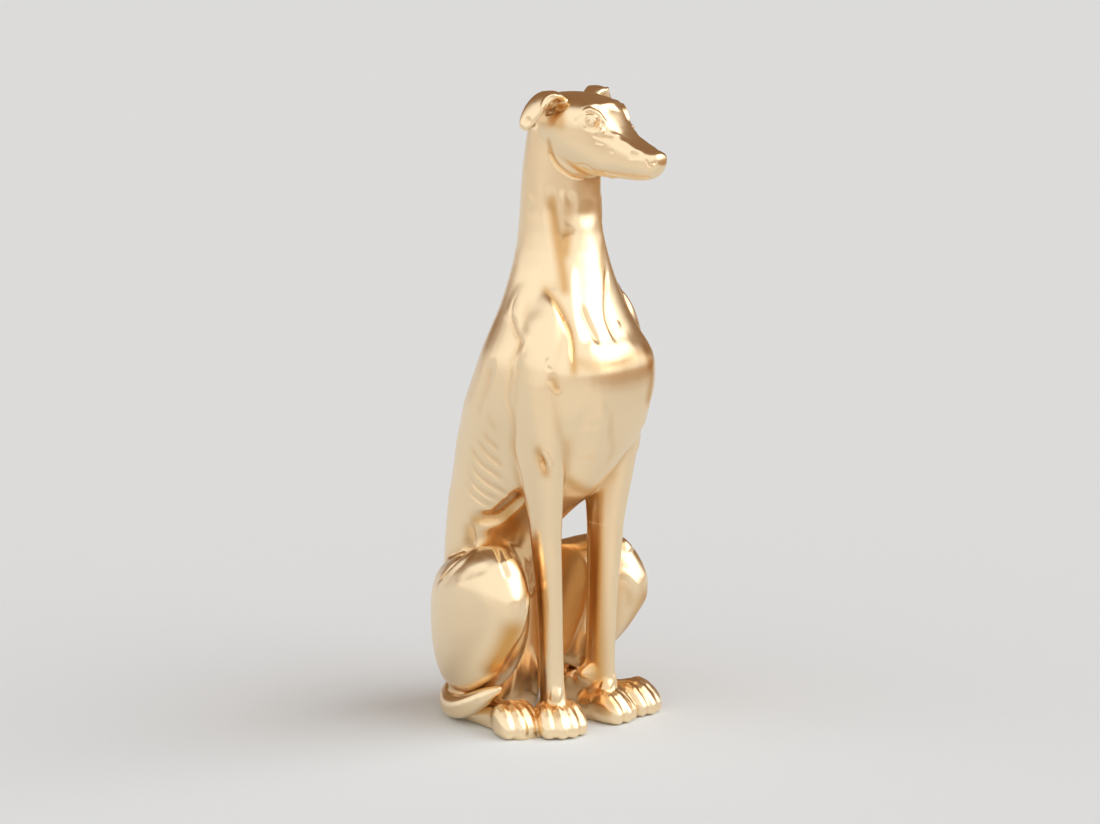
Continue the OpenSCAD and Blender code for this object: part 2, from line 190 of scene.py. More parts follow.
clay = {
    "voxel": 0.75 * mm,
    "relax": 24,                # steps of smoothing
    "headRelax": 3,             # more of them on the head, once its faces are divided
    "firmPaws": 0.75,           # shares of the smoothing that the paws and the ear lobes are spared
    "firmLobes": 0.35,
    "crispPaws": 0.25,          # how much deeper the grooves of the paws get
    "crispSteps": 14,
    "mostTriangles": 420000,
}


def outerShell(node):
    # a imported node's mesh is loose triangles, so its copy is merged
    copy = frame["nodes"][node].copy()
    copy.data = frame["nodes"][node].data.copy()
    bpy.context.scene.collection.objects.link(copy)
    copy.parent = None
    for key in list(copy.keys()):
        del copy[key]
    pick(copy)
    bpy.ops.object.mode_set(mode="EDIT")
    bpy.ops.mesh.select_all(action="SELECT")
    bpy.ops.mesh.remove_doubles(threshold=0.002 * mm)
    bpy.ops.object.mode_set(mode="OBJECT")
    return copy


def rod(radius, low, high, y):
    bpy.ops.object.select_all(action="DESELECT")
    bpy.ops.mesh.primitive_cylinder_add(vertices=96, radius=radius * mm, depth=(high - low) * mm,
                                        location=(0, y * mm, (low + high) / 2 * mm))
    return bpy.context.active_object


def fuse(parts, voxel, name):
    pick(*parts)
    bpy.ops.object.join()
    body = bpy.context.active_object
    body.name = name
    applyPlace(body)
    remesh = body.modifiers.new("Voxels", "REMESH")
    remesh.mode = "VOXEL"
    remesh.voxel_size = voxel
    remesh.adaptivity = 0
    applyModifiers(body)
    return body


def editAt(obj, chosen):
    # opens edit mode with only the chosen points selected
    pick(obj)
    bpy.ops.object.mode_set(mode="EDIT")
    bpy.ops.mesh.select_mode(type="VERT")
    bpy.ops.mesh.select_all(action="DESELECT")
    bpy.ops.object.mode_set(mode="OBJECT")
    obj.data.vertices.foreach_set("select", chosen)
    bpy.ops.object.mode_set(mode="EDIT")


def keepOutside(obj):
    # bores and hollows leave loose shells inside, so only what joins the topmost point stays
    heights = readPoints(obj)[:, 2]
    editAt(obj, np.arange(len(heights)) == heights.argmax())
    bpy.ops.mesh.select_linked()
    bpy.ops.mesh.select_all(action="INVERT")
    bpy.ops.mesh.delete(type="VERT")
    bpy.ops.object.mode_set(mode="OBJECT")


def near(points, low, high, edge=4):
    # 1 inside a box and 0 outside it, in millimetres, with soft edges
    inside = np.minimum(points / mm - low, high - points / mm).min(axis=1)
    return span(inside, -edge, edge)


def refine(obj, low, high):
    # divides the faces inside a box once
    editAt(obj, near(readPoints(obj), low, high, 0.01) > 0.5)
    bpy.ops.mesh.subdivide(number_cuts=1)
    bpy.ops.object.mode_set(mode="OBJECT")


# Opposite corners of boxes round the forms that are treated apart, in millimetres
boxes = {
    "head": ((-42, -160, 332), (42, -20, 410)),
    "earLobes": ((-90, -90, 360), (90, -40, 410)),
    "paws": ((-90, -120, -10), (90, -48, 24)),
}
# The filling hole under the seat, in millimetres
seatHole = {
    "y": -4.96,
    "fillings": ((16, 1.6), (9, 143)),          # radius and height of what closes it before the remesh,
    "openings": ((15.1, 1.2), (7.1, 11.3)),     # and of the openings for the disc and for the plug
    "below": -5,                                # where the openings' cutters begin
    "disc": (14.95, 0.02, 1.18),                # radius, underside and top
    "discEdge": 0.25,
}

parts = [outerShell(node) for node in castings]
parts += [rod(radius, 0, top, seatHole["y"]) for radius, top in seatHole["fillings"]]
body = fuse(parts, clay["voxel"], "clay")
keepOutside(body)
points = readPoints(body)
firm = clay["firmPaws"] * near(points, *boxes["paws"])
firm += clay["firmLobes"] * near(points, *boxes["earLobes"])
relax(body, clay["relax"], 1 - firm)
refine(body, *boxes["head"])
relax(body, clay["headRelax"], near(readPoints(body), *boxes["head"]))
print("clay:", len(body.data.vertices), "points")

# Modelling strokes. A stroke is a path over the clay as the photograph shows it, in its pixels,
# with the reach of the tool and how far it raises or presses the clay, in millimetres.
# It is worked on both sides of the dog unless both is False.
tool = {
    "step": 2.5,            # pixels between the places where it touches
    "evened": 4,            # times that its direction is evened out along the path
    "away": -0.1,           # clay is worked from this cosine between its normal and the tool's on,
    "facing": 0.3,          # and in full from this one
    "taper": 0.25,          # it fades in up to this share of the path, from this one, at both ends
    "taperFrom": -0.02,
}


def smoothPath(path, step=tool["step"]):
    # a curve through the path's points
    if len(path) == 1:
        return [tuple(path[0])]
    path = np.array(path, float)
    ends = np.vstack([2 * path[0] - path[1], path, 2 * path[-1] - path[-2]])
    curve = []
    for i in range(len(path) - 1):
        before, start, end, after = ends[i:i + 4]
        count = max(int(np.linalg.norm(end - start) / step), 1)
        bend = 2 * before - 5 * start + 4 * end - after
        swing = 3 * (start - end) + after - before
        for t in np.arange(count) / count:
            curve.append(0.5 * (2 * start + (end - before) * t + bend * t * t + swing * t ** 3))
    curve.append(path[-1])
    return [tuple(c) for c in curve]


def touch(tree, u, v):
    # the place behind a pixel and its normal; a pixel beside the dog takes the nearest place on it
    place, normal = tree.ray_cast(eye, rayThrough(u, v))[:2]
    if place is None:
        place, normal = tree.find_nearest(eye + rayThrough(u, v) * view["distance"])[:2]
    return np.array(place), np.array(normal)


def nearestOn(line, points):
    # for each point, how far the line is, and where along it as a row number with a fraction
    if len(line) == 1:
        return np.linalg.norm(points - line[0], axis=1), np.zeros(len(points))
    best = np.full(len(points), np.inf)
    where = np.zeros(len(points))
    for i in range(len(line) - 1):
        length = np.linalg.norm(line[i + 1] - line[i])
        direction = (line[i + 1] - line[i]) / max(length, 1e-9)
        t = np.clip((points - line[i]) @ direction, 0, length)
        gap = np.linalg.norm(points - line[i] - t[:, None] * direction, axis=1)
        nearer = gap < best
        best[nearer] = gap[nearer]
        where[nearer] = i + t[nearer] / max(length, 1e-9)
    return best, where


def between(rows, where):
    # the rows' values at row numbers with a fraction
    low = np.minimum(where.astype(int), len(rows) - 1)
    high = np.minimum(low + 1, len(rows) - 1)
    t = (where - low)[:, None]
    return rows[low] * (1 - t) + rows[high] * t


def falloff(t, tip):
    # how strongly the tool works from its middle, 0, to its rim, 1
    t = np.clip(t, 0, 1)
    if tip == "crease":
        return (1 - t) ** 2
    if tip == "ball":
        return np.sqrt(1 - t * t)
    return (1 - t * t) ** 2


def treeOf(obj, points):
    obj.data.calc_loop_triangles()
    corners = np.empty(len(obj.data.loop_triangles) * 3, np.int32)
    obj.data.loop_triangles.foreach_get("vertices", corners)
    return BVHTree.FromPolygons(points.tolist(), corners.reshape(-1, 3).tolist())


def sidesOf(stroke):
    return [1, -1] if stroke.get("both", True) else [1]


def sculpt(obj, strokes):
    points = readPoints(obj)
    normals = readNormals(obj)
    tree = treeOf(obj, points)
    for stroke in strokes:
        touched = [touch(tree, u, v) for u, v in smoothPath(stroke["path"])]
        places = np.array([t[0] for t in touched])
        facings = np.array([t[1] for t in touched])
        for step in range(tool["evened"] if len(facings) > 2 else 0):
            facings[1:-1] = (facings[:-2] + 2 * facings[1:-1] + facings[2:]) / 4
        facings /= np.linalg.norm(facings, axis=1)[:, None]
        reach = stroke["width"] * mm
        for side in sidesOf(stroke):
            flip = np.array([side, 1, 1])
            here = places * flip
            inBox = np.all((points > here.min(0) - reach) & (points < here.max(0) + reach), axis=1)
            index = np.nonzero(inBox)[0]
            gap, where = nearestOn(here, points[index])
            close = gap < reach
            index, gap, where = index[close], gap[close], where[close]
            facing = between(facings * flip, where)
            weight = falloff(gap / reach, stroke.get("tip", "soft"))
            weight *= span(np.sum(normals[index] * facing, axis=1), tool["away"], tool["facing"])
            taper = stroke.get("taper", tool["taper"])
            if len(here) > 1 and taper > 0:
                along = where / (len(here) - 1)
                weight *= span(np.minimum(along, 1 - along), tool["taperFrom"], taper)
            if "move" in stroke:
                push = np.array(stroke["move"], float) * flip * mm
            elif "flat" in stroke:
                # towards the flat strip that the path and its normal give
                over = np.sum((points[index] - between(here, where)) * facing, axis=1)
                push = facing * (stroke["height"] * mm - over * stroke["flat"])[:, None]
            else:
                push = facing * stroke["height"] * mm
            points[index] += weight[:, None] * push
    writePoints(obj, points)


def smoothAlong(obj, repeat, strokes):
    # softens the clay along each path
    points = readPoints(obj)
    tree = treeOf(obj, points)
    weight = np.zeros(len(points))
    for stroke in strokes:
        places = np.array([touch(tree, u, v)[0] for u, v in smoothPath(stroke["path"])])
        for side in sidesOf(stroke):
            gap, where = nearestOn(places * np.array([side, 1, 1]), points)
            weight = np.maximum(weight, falloff(gap / (stroke["width"] * mm), "soft"))
    relax(obj, repeat, weight)


def line(path, width, height, **more):
    return {"path": path, "width": width, "height": height, **more}


def flat(path, width, share, height=0, **more):
    return {"path": path, "width": width, "height": height, "flat": share, **more}


def grab(at, width, move, **more):
    return {"path": [at], "width": width, "move": move, **more}


def wipe(path, width, **more):
    return {"path": path, "width": width, **more}


masses = [
    flat([(584, 235), (583, 270), (585, 305), (590, 338)], 19, 0.6, both=False),    # plane of the brisket
    flat([(622, 315), (630, 338)], 12, 0.5, both=False),
    # its lower edge and its side edge
    line([(576, 347), (592, 350), (608, 351), (625, 346), (640, 337)], 10, 1.4, both=False),
    line([(566, 262), (569, 300), (574, 332), (577, 352)], 8, 1.9, both=False),
    line([(511, 324), (521, 303), (545, 286)], 14, 1.5),                # over the shoulder
    line([(592, 425), (590, 460)], 13, 1.0),                            # breastbone
    grab((493, 545), 15, (0, 0, 2.5)),                                  # top of the thigh
    flat([(472, 578), (466, 612), (474, 645)], 24, 0.6),                # side of the thigh
]

shoulder = [
    # between the upper arm and the brisket
    line([(543, 288), (556, 303), (566, 322), (572, 342), (574, 374)], 4.5, -2.2, tip="crease"),
    # back of the upper arm, down to the elbow
    line([(518, 293), (512, 305), (511, 318), (515, 332), (519, 341), (515, 353), (511, 365), (509, 385),
          (508, 400), (512, 415), (514, 432), (513, 450), (517, 463), (521, 480), (523, 500)],
         3.4, -0.7, tip="crease", taper=0.1),
    line([(524, 300), (519, 315), (523, 330), (527, 342), (522, 356), (518, 370)], 6, 0.8),
    line([(553, 380), (557, 388)], 4, -0.6, taper=0),                   # point of the shoulder
    line([(549, 357), (546, 366), (552, 371)], 2, -0.5, tip="crease"),
    line([(537, 449), (541, 460), (548, 475)], 4.5, -2.6, tip="crease", taper=0.5),     # notch at the elbow
    line([(543, 450), (548, 460), (552, 472)], 3.0, 0.8),
    line([(594, 403), (577, 430), (564, 466)], 7, -0.6),                # beside the breastbone
    line([(609, 398), (611, 428), (613, 450), (601, 474)], 5, -0.7, both=False),
    line([(607, 398), (602, 430), (596, 465)], 7, 0.7, both=False),
]

neck = [
    line([(551, 184), (552, 205), (556, 232), (560, 262), (564, 292)], 7, -1.3),    # two furrows that meet
    line([(571, 190), (571, 215), (569, 238), (564, 252)], 5, -1.2),
    line([(568, 236), (565, 254)], 6, -1.4, taper=0),
    line([(561, 188), (562, 212), (563, 233)], 5, 0.4),                 # muscle between them
    line([(586, 214)], 10, -0.7, both=False),                           # hollow of the throat
    line([(580, 303), (588, 323), (600, 347)], 3.0, -1.0, both=False),  # furrows of the brisket
    line([(585, 305), (593, 323), (603, 340)], 4, 0.5, both=False),
    line([(607, 262), (606, 290), (607, 318), (618, 346)], 3.2, -1.0, both=False),
    line([(617, 325)], 4, 0.6, both=False),
]

# Grooves between the ribs, with a slight swell under each, and the hollow behind the upper arm
grooves = [
    [(487, 410), (490, 420), (496, 432)],
    [(483, 432), (488, 440), (500, 451)],
    [(476, 437), (483, 448), (492, 458), (505, 468)],
    [(470, 442), (474, 453), (481, 463), (491, 471), (506, 482)],
    [(469, 456), (475, 470), (483, 479), (494, 487), (510, 497)],
    [(467, 465), (471, 479), (478, 488), (487, 495), (500, 501)],
    [(466, 480), (472, 493), (481, 501), (494, 508)],
]
ribs = [line(path, 3.4, -0.6, taper=0.2) for path in grooves]
ribs += [line([(u - 5, v + 4) for u, v in path], 4, 0.2, taper=0.2) for path in grooves]
ribs += [line([(490, 358), (489, 372), (482, 395), (474, 425)], 9, -1.4)]

belly = [
    # fold between the flank and the belly, and its end down to the thigh
    line([(471, 522), (477, 518), (486, 518), (497, 516), (507, 508), (516, 500), (524, 490)], 6, -2.4),
    line([(471, 522), (473, 535), (475, 547)], 3, -1.4),
    line([(468, 546)], 7, -1.6),
    line([(490, 530)], 9, 0.8),
]

haunches = [
    # crease over the thigh, and the ridge along it
    line([(438, 583), (452, 566), (464, 553), (476, 545)], 3.6, -2.2, tip="crease"),
    line([(437, 590), (448, 575), (460, 563), (472, 553), (484, 544), (495, 540)], 5, 1.2),
    line([(500, 541), (511, 549), (521, 560), (527, 573)], 4, 1.0),     # knee
    flat([(505, 556), (514, 568), (517, 580)], 8, 0.75, 0.8),
    line([(491, 543), (498, 550), (503, 566), (509, 580)], 2.8, -0.9),
    line([(462, 575), (476, 572), (490, 566)], 5, -0.5),
    # front edge, from the knee to the hock
    line([(527, 566), (529, 590), (526, 612), (520, 632), (510, 648), (501, 664), (497, 680)], 4, 0.9),
]

eyes = [
    line([(580, 109), (590, 105.5), (602, 104.5), (614, 106), (622, 109)], 4.5, 1.0),   # brow
    line([(586, 120.5), (600, 125)], 6, -1.6),                          # socket
    line([(591.5, 121)], 3.8, 2.0, tip="ball"),                         # eyeball
    # fold over the lid, upper lid, lower lid
    line([(582, 115), (585, 111.5), (590.5, 110), (597, 113), (602, 119), (607, 126)], 2.4, 1.5),
    line([(584, 119), (587, 115.8), (592, 115), (597, 117.5), (601, 122)], 1.2, 0.8),
    line([(583.5, 123), (587.5, 126.8), (592.5, 128), (598.5, 126.5), (602, 123.5)], 1.2, 0.8),
    # bag under the eye, and the furrow below it
    line([(599, 130.5), (604, 132.5)], 3.0, 1.3),
    line([(590, 131.5), (598, 136.5), (607, 138.5), (618, 138.5), (628, 142)], 2.6, -0.4),
]

muzzle = [
    line([(606, 131), (618, 138), (632, 147), (647, 157)], 3.4, 1.2),   # edge of the bridge
    flat([(605, 152), (625, 158), (642, 165)], 9, 0.5),                 # flat side
    line([(628, 157), (636, 154.5), (645, 156)], 3.2, -0.5),            # hollow behind the nose
    line([(655, 163)], 1.8, -1.6, tip="crease"),                        # nostril
    line([(646, 158), (648, 165), (654, 169)], 1.4, -0.8, tip="crease"),    # rim of the nose
    # mouth, lower lip and the corner of the mouth
    line([(604, 172), (612, 174.5), (622, 177), (636, 178.5), (652, 178.5)],
         1.6, -1.3, tip="crease", taper=0.08),
    line([(606, 174), (622, 180), (640, 181)], 2.2, 0.6),
    line([(576, 166), (581, 164.5), (587, 166), (593, 171), (599, 176)], 1.8, -0.9, tip="crease"),
    # jaw against the neck
    line([(549, 141), (552, 155), (559, 166), (572, 174.5), (590, 178)], 2.6, -1.1, tip="crease"),
    line([(594, 142), (604, 144)], 1.8, -0.3, tip="crease"),            # wrinkles of the cheek
    line([(609, 150), (614, 153)], 1.8, -0.25, tip="crease"),
    line([(583, 113), (578, 118), (574, 124)], 2.4, -0.4),              # temple
]

ears = [
    line([(550, 105), (549, 116)], 5, -1.0),                            # hollow of the flap
    line([(542, 116), (543, 105), (547, 98), (554, 95), (561, 98)], 2.0, 1.2),  # rolled edge
    line([(527, 121)], 4, -0.8),
]

# Lower legs and paws; what stands behind the forelegs closes the gaps beside them
legs = [
    line([(535, 640), (536, 670), (538, 705)], 7, 1.8, taper=0.4),
    grab((580, 654), 14, (0, 0, -7), both=False),
    line([(572, 678), (586, 673)], 9, 7, both=False, taper=0),          # far hock
    line([(550, 694), (562, 697)], 6, 1.0),                             # ends of the forelegs on the paws
    line([(600, 684), (612, 689)], 6, 1.0, both=False),
]

sculpt(body, masses)
smoothAlong(body, 60, [
    wipe([(546, 143), (550, 158), (558, 172), (571, 183), (590, 188)], 14),     # under the jaw
    wipe([(508, 508), (516, 522), (512, 540)], 14),                     # under the waist
    wipe([(500, 690), (506, 668), (514, 645)], 8),                      # hock
    wipe([(610, 272), (620, 292), (631, 315), (643, 340)], 17, both=False),     # far side of the brisket
    wipe([(532, 300), (538, 325), (542, 350)], 24),                     # shoulder
    wipe([(512, 340), (522, 314), (546, 295)], 14),
    wipe([(557, 300), (559, 325), (562, 350)], 12, both=False),
    wipe([(529, 188), (531, 208)], 9),                                  # nape
])
relax(body, 2)
sculpt(body, shoulder + neck + ribs + belly + haunches)
sculpt(body, eyes + muzzle + ears)
sculpt(body, legs)
smoothAlong(body, 30, [
    wipe([(530, 192), (531, 206)], 9),                                  # nape
    wipe([(572, 678), (586, 673)], 11, both=False),                     # far hock
])
smoothAlong(body, 14, [wipe([(562, 186), (571, 191), (573, 214), (570, 238)], 9)])      # throat
crisp(body, clay["crispSteps"], clay["crispPaws"] * near(readPoints(body), *boxes["paws"]))
relax(body, 1)
keepInBox(body)
print("strokes are done")

# Painted shade on the gilding: in creases, and where near forms shelter the surface
shelter = {
    "every": 9,             # one point in so many is looked from
    "rays": 20,
    "reach": 70 * mm,
    "lift": 1.0 * mm,
    "from": 0.14,           # the share of rays stopped at which the shelter begins to count
    "to": 0.52,             # and at which it counts in full
}
shadeMark = {
    "crease": 0.35,         # how dark each cause makes the painted shade on the gilding, of 1
    "hidden": 0.35,
    "hand": 0.7,
    "creaseDepth": 0.35 * mm,
    "creaseSteps": 30,      # steps of smoothing that a crease is measured against
    "hiddenSteps": 30,      # and that spread the shelter and the whole
    "wholeSteps": 10,
    "step": 5,              # pixels between the places on a path
}


def raysOver(count):
    # directions spread evenly over a half ball, more of them near its top
    around = math.pi * (3 - math.sqrt(5)) * np.arange(count)
    rise = np.sqrt(1 - (np.arange(count) + 0.5) / count)
    out = np.sqrt(1 - rise ** 2)
    return np.stack([out * np.cos(around), out * np.sin(around), rise], axis=1)


def sheltered(points, normals, tree):
    # the share of directions that run into the dog, at some of the points, spread to the rest
    chosen = np.arange(0, len(points), shelter["every"])
    local = raysOver(shelter["rays"])
    share = np.zeros(len(chosen))
    finder = KDTree(len(chosen))
    for row, index in enumerate(chosen):
        normal = normals[index]
        aside = np.cross(normal, (0.3, 0.5, 0.8))
        aside /= np.linalg.norm(aside)
        rays = local @ np.array([aside, np.cross(normal, aside), normal])
        start = points[index] + normal * shelter["lift"]
        stopped = sum(tree.ray_cast(start, ray, shelter["reach"])[0] is not None for ray in rays)
        share[row] = stopped / len(rays)
        finder.insert(points[index], row)
    finder.balance()
    return np.array([share[finder.find(point)[1]] for point in points])


# Painted shade and painted dark reflections, drawn along paths: each path in the photograph's pixels, its
# reach in millimetres and its strength.
# The first list is drawn on both sides of the dog, the second on the side that faces the camera.
pairedShadeStrokes = [
    ([(513, 632), (505, 650), (495, 668)], 13, 1.0),                # haunch, over the hock
    ([(528, 580), (530, 604), (526, 630)], 4, 0.5),
    ([(468, 530), (471, 556)], 6, 0.7),                             # belly fold
    ([(474, 520), (500, 516), (521, 496)], 5, 0.9),
    ([(508, 515), (517, 530), (512, 546)], 13, 0.9),
    ([(438, 584), (452, 567), (466, 553)], 4, 0.6),
    ([(556, 106), (560, 122)], 7, 0.7),                             # under the ear
    ([(549, 141), (552, 155), (559, 166), (572, 175), (592, 178)], 2.6, 0.8),
    ([(552, 200), (556, 232), (561, 262), (565, 290)], 5, 0.9),     # neck
    ([(538, 450), (546, 474)], 4, 0.9),                             # notch at the elbow
]
nearSideShadeStrokes = [
    ([(567, 232), (565, 254)], 5, 0.9),                             # neck, then beside the brisket
    ([(545, 290), (556, 303), (566, 322), (572, 342), (574, 372)], 3.5, 1.0),
    ([(602, 245), (603, 268), (606, 290)], 3.5, 0.8),
    ([(578, 362), (600, 367), (625, 362), (642, 352)], 6, 0.5),     # under the brisket
    ([(646, 350), (652, 372), (649, 398)], 7, 0.9),
    ([(553, 380), (557, 390)], 4, 0.8),
    ([(566, 480), (580, 489), (597, 494)], 7, 0.8),                 # between the forelegs
    ([(590, 504), (600, 490), (614, 474)], 5, 0.6),
    ([(592, 510), (595, 560), (596, 620), (598, 680)], 10, 0.95),   # inner side of the far foreleg
    ([(534, 560), (536, 620), (538, 680)], 4, 0.7),                 # behind the near foreleg
    ([(546, 705), (556, 716)], 5, 0.7),                             # between the paws
    ([(602, 694), (612, 704)], 7, 0.8),
    ([(622, 682), (640, 690)], 6, 0.7),
    ([(485, 700), (505, 703)], 7, 0.5),
    ([(450, 690), (476, 692), (498, 682)], 4, 0.5),                 # tail
    ([(497, 706), (530, 712)], 12, 0.35),                           # painted shade that dims the highlights on the tops of the paws
    ([(550, 704), (582, 712)], 12, 0.35),
    ([(605, 690), (640, 690)], 12, 0.35),
]


def markPaintedShade(obj, surroundings):
    # paints shade into the gilding as a mark: darker in creases, in sheltered places and along the shade
    # strokes
    edges = readEdges(obj)
    points = readPoints(obj)
    normals = readNormals(obj)
    around = spread(points, edges, shadeMark["creaseSteps"])
    crease = np.clip(np.sum((around - points) * normals, axis=1) / shadeMark["creaseDepth"], 0, 1)
    hidden = spread(sheltered(points, normals, surroundings)[:, None], edges, shadeMark["hiddenSteps"])
    hidden = span(hidden[:, 0], shelter["from"], shelter["to"])
    share = np.maximum(shadeMark["crease"] * crease, shadeMark["hidden"] * hidden)
    for shadeStrokes, sides in ((pairedShadeStrokes, (1, -1)), (nearSideShadeStrokes, (1,))):
        for path, width, strength in shadeStrokes:
            places = np.array([touch(surroundings, u, v)[0] for u, v in smoothPath(path, shadeMark["step"])])
            for side in sides:
                gap, where = nearestOn(places * np.array([side, 1, 1]), points)
                share = np.maximum(share, shadeMark["hand"] * strength * falloff(gap / (width * mm), "soft"))
    share = spread(share[:, None], edges, shadeMark["wholeSteps"])
    painted_shade = obj.data.attributes.new("painted_shade", "FLOAT", "POINT")
    painted_shade.data.foreach_set("value", share.ravel().astype(np.float32))


tailClay = {"voxel": 0.6 * mm, "relax": 10}

tail = fuse([outerShell("tail")], tailClay["voxel"], "tailCasting")
relax(tail, tailClay["relax"])
wholeDog = treeOf(body, readPoints(body))
markPaintedShade(body, wholeDog)
markPaintedShade(tail, wholeDog)
print("recesses are found")

# The clay is cut where the castings are bonded. Each cutter is a block with flat faces, by a point in
# millimetres and the outward normal of each face, and it is mirrored for the dog's right side.
neckLean, earLean, flankLean, pawTurn = (math.radians(angle) for angle in (22, 41, 7.8, 6.3))
seats = {
    "neck": ((0, -57.66, 344.84), (0, math.sin(neckLean), -math.cos(neckLean))),
    "ear": ((13.95, -67.15, 387.98), (-math.sin(earLean), 0, -math.cos(earLean))),
    "flank": ((17.39, 0, 0), (-math.cos(flankLean), 0, math.sin(flankLean))),
    "elbow": ((0, 0, 124), (0, 0, 1)),
    "hock": ((0, 0, 20.28), (0, 0, 1)),
}
across = (math.cos(pawTurn), math.sin(pawTurn), 0)      # out of the forepaw's side
behind = (-math.sin(pawTurn), math.cos(pawTurn), 0)
blocks = {
    "ear": [seats["ear"], ((0, -76.5, 0), (0, -1, 0)), ((0, -49, 0), (0, 1, 0))],
    "foreleg": [seats["elbow"], ((34.5, -50, 0), across), ((2, -70, 0), tuple(-c for c in across)),
                ((20, -54.5, 0), behind)],
    "hind_foot": [seats["hock"], seats["flank"]],
    "toes": [((0, 0, 27), (0, 0, 1)), ((0, -41, 0), (0, 1, 0)), ((24, 0, 0), (-1, 0, 0))],
    "haunch": [seats["flank"], ((0, 0, 118.5), (0, 0, 1))],
}


def block(faces, mirrored):
    bpy.ops.object.select_all(action="DESELECT")
    bpy.ops.mesh.primitive_cube_add(size=1)
    bpy.ops.object.mode_set(mode="EDIT")
    side = -1 if mirrored else 1
    for point, normal in faces:
        bpy.ops.mesh.select_all(action="SELECT")
        bpy.ops.mesh.bisect(plane_co=(side * point[0] * mm, point[1] * mm, point[2] * mm),
                            plane_no=(side * normal[0], normal[1], normal[2]),
                            use_fill=True, clear_outer=True)
    bpy.ops.object.mode_set(mode="OBJECT")
    return bpy.context.active_object


def combine(obj, other, operation):
    modifier = obj.modifiers.new("cut", "BOOLEAN")
    modifier.operation = operation
    modifier.object = other
    modifier.solver = "MANIFOLD"
    applyModifiers(obj)


def looseShells(obj):
    # leaves the largest shell in the object and gives the others as objects
    pick(obj)
    bpy.ops.mesh.separate(type="LOOSE")
    parts = list(bpy.context.selected_objects)
    largest = max(parts, key=lambda part: len(part.data.vertices))
    obj.data, largest.data = largest.data, obj.data
    return [part for part in parts if part != obj]


def handOver(giver, taker):
    # a casting is one solid, so a small shell that the cut left with it goes to the other side of the cut
    for shell in looseShells(giver):
        combine(taker, shell, "UNION")
        bpy.data.objects.remove(shell)


def cutOff(body, cutter, name):
    piece = body.copy()
    piece.data = body.data.copy()
    piece.name = name
    bpy.context.scene.collection.objects.link(piece)
    combine(piece, cutter, "INTERSECT")
    combine(body, cutter, "DIFFERENCE")
    bpy.data.objects.remove(cutter)
    handOver(piece, body)
    handOver(body, piece)
    return piece


thin = body.modifiers.new("thin", "DECIMATE")
thin.ratio = min(clay["mostTriangles"] / (2 * len(body.data.vertices)), 1)      # two triangles to a point
applyModifiers(body)
print("thinned:", len(body.data.vertices), "points")

pieces = {}
head = cutOff(body, block([seats["neck"]], False), "headCasting")
for side in ("left", "right"):
    mirrored = side == "right"
    pieces[side + "_ear"] = cutOff(head, block(blocks["ear"], mirrored), side + "EarCasting")
    pieces[side + "_foreleg"] = cutOff(body, block(blocks["foreleg"], mirrored), side + "ForelegCasting")
    footBlock = block(blocks["hind_foot"], mirrored)
    toeBlock = block(blocks["toes"], mirrored)
    combine(footBlock, toeBlock, "UNION")
    bpy.data.objects.remove(toeBlock)
    pieces[side + "_hind_foot"] = cutOff(body, footBlock, side + "HindFootCasting")
    pieces[side + "_haunch"] = cutOff(body, block(blocks["haunch"], mirrored), side + "HaunchCasting")
pieces["head"] = head
body.name = "trunkCasting"
pieces["trunk"] = body
for radius, top in seatHole["openings"]:
    opening = rod(radius, seatHole["below"], top, seatHole["y"])
    applyPlace(opening)
    combine(body, opening, "DIFFERENCE")
    bpy.data.objects.remove(opening)
for piece in pieces.values():
    for sliver in looseShells(piece):       # what a union leaves between two faces
        bpy.data.objects.remove(sliver)
print("the clay is cut into", len(pieces), "castings")

# Felt disc under the seat, with its edge slightly rounded
disc = rod(*seatHole["disc"], seatHole["y"])
applyPlace(disc)
disc.name = "feltDisc"
rounding = disc.modifiers.new("rounding", "BEVEL")
rounding.width = seatHole["discEdge"] * mm
rounding.segments = 3
applyModifiers(disc)
pieces["felt_disc"] = disc
pieces["tail"] = tail

sharpFrom = math.radians(50)    # edges that turn less look rounded
for node, piece in pieces.items():
    triangles = sum(len(face.vertices) - 2 for face in piece.data.polygons)
    keepInBox(piece)
    pick(piece)
    bpy.ops.object.shade_smooth_by_angle(angle=sharpFrom)
    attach(piece, "root")
    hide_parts(node)
    print(node, triangles, "triangles")


def linear(hexColour):
    # sRGB hex to the linear values that a socket takes
    values = [int(hexColour[i:i + 2], 16) / 255 for i in (1, 3, 5)]
    return [v / 12.92 if v <= 0.04045 else ((v + 0.055) / 1.055) ** 2.4 for v in values] + [1]


def addNode(tree, kind, settings={}, links={}):
    # a setting is a socket's value where a socket has its name, and otherwise the node's own
    node = tree.nodes.new(kind)
    for key, value in settings.items():
        if key in node.inputs:
            node.inputs[key].default_value = value
        else:
            setattr(node, key, value)
    for key, output in links.items():
        tree.links.new(output, node.inputs[key])
    return node


# Metallic gold paint on cast resin: satin, with the fine sparkle of its flakes, and a painted shade of
# deeper amber where the shade mark lies.
# Real flakes are finer than a pixel, so these are drawn coarser.
gold = {
    "bright": "#FDE5BE",
    # deeper amber of the painted shade
    "shadeColour": "#D0953E",
    "shadeFullFrom": 0.8,                # of the painted shade mark, where the shade colour is full
    "roughness": 0.27,
    "flake": 0.5 * mm,
    "flakeDepth": 0.02 * mm,
    "flakeShow": 0.10,
    "uneven": 7 * mm,               # the hand-worked surface under the paint
    "unevenDepth": 0.05 * mm,
}

